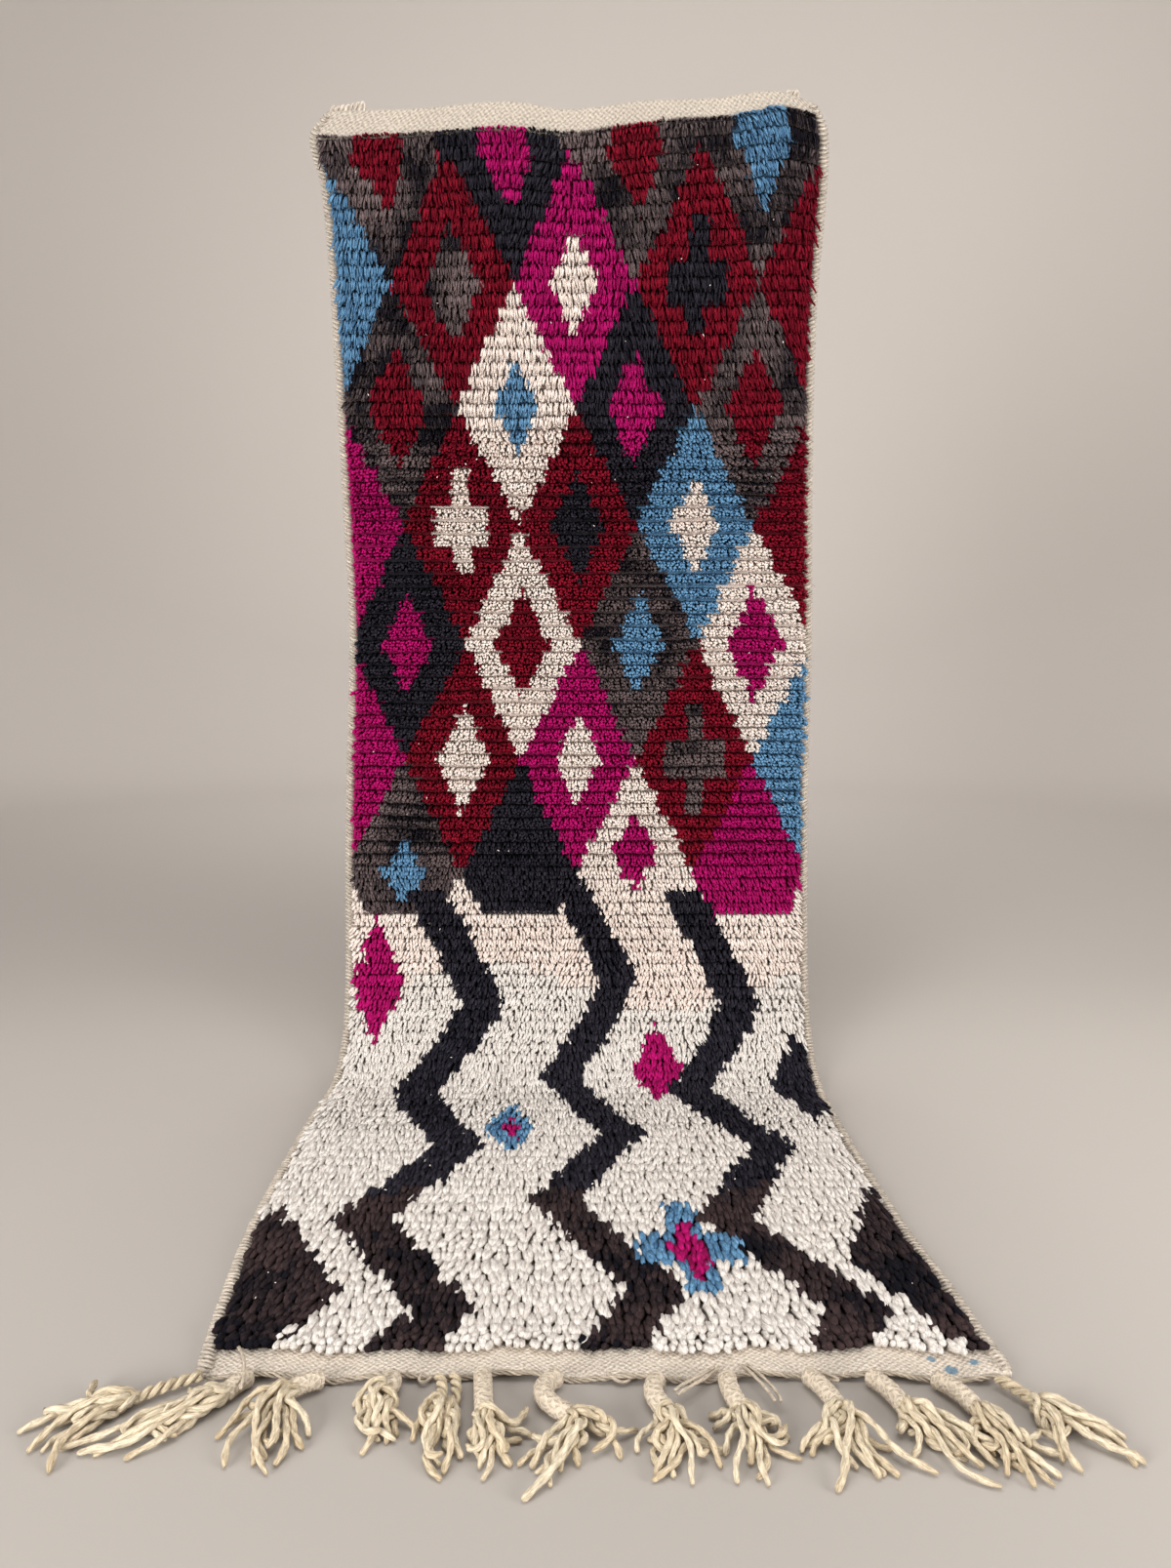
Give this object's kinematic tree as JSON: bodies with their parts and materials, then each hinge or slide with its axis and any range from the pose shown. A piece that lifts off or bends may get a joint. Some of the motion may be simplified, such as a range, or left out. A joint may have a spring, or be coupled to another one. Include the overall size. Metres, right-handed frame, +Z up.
{
  "type": "berber runner rug",
  "caption": "Hand-knotted wool runner rug hung by its top edge, turning on a wide bend and lying out over the floor, with plaited tassels along its front edge.",
  "frame": {"origin": "middle of the rug's footprint, at floor level", "axes": "+Z up; the pile of the hanging part faces -Y, and the lower part lies out towards -Y; +X is to the right of someone who looks at the pile"},
  "size_m": [0.9212, 1.0211, 1.456],
  "materials": {
    "ground_wool": "flat-woven natural wool",
    "pile_wool": "knotted wool pile in wine, magenta, blue, charcoal and cream",
    "tassel_wool": "thick soft cream yarn"
  },
  "bodies": {
    "root": {"ground_cloth": "ground_wool", "pile": "pile_wool", "edge_cord": "tassel_wool", "tassel_01": "tassel_wool", "tassel_02": "tassel_wool", "tassel_03": "tassel_wool", "tassel_04": "tassel_wool", "tassel_05": "tassel_wool", "tassel_06": "tassel_wool", "tassel_07": "tassel_wool", "tassel_08": "tassel_wool", "tassel_09": "tassel_wool", "tassel_10": "tassel_wool", "tassel_11": "tassel_wool", "tassel_12": "tassel_wool", "tassel_13": "tassel_wool", "corner_knot_left": "tassel_wool", "corner_knot_right": "tassel_wool"}
  },
  "joints": []
}
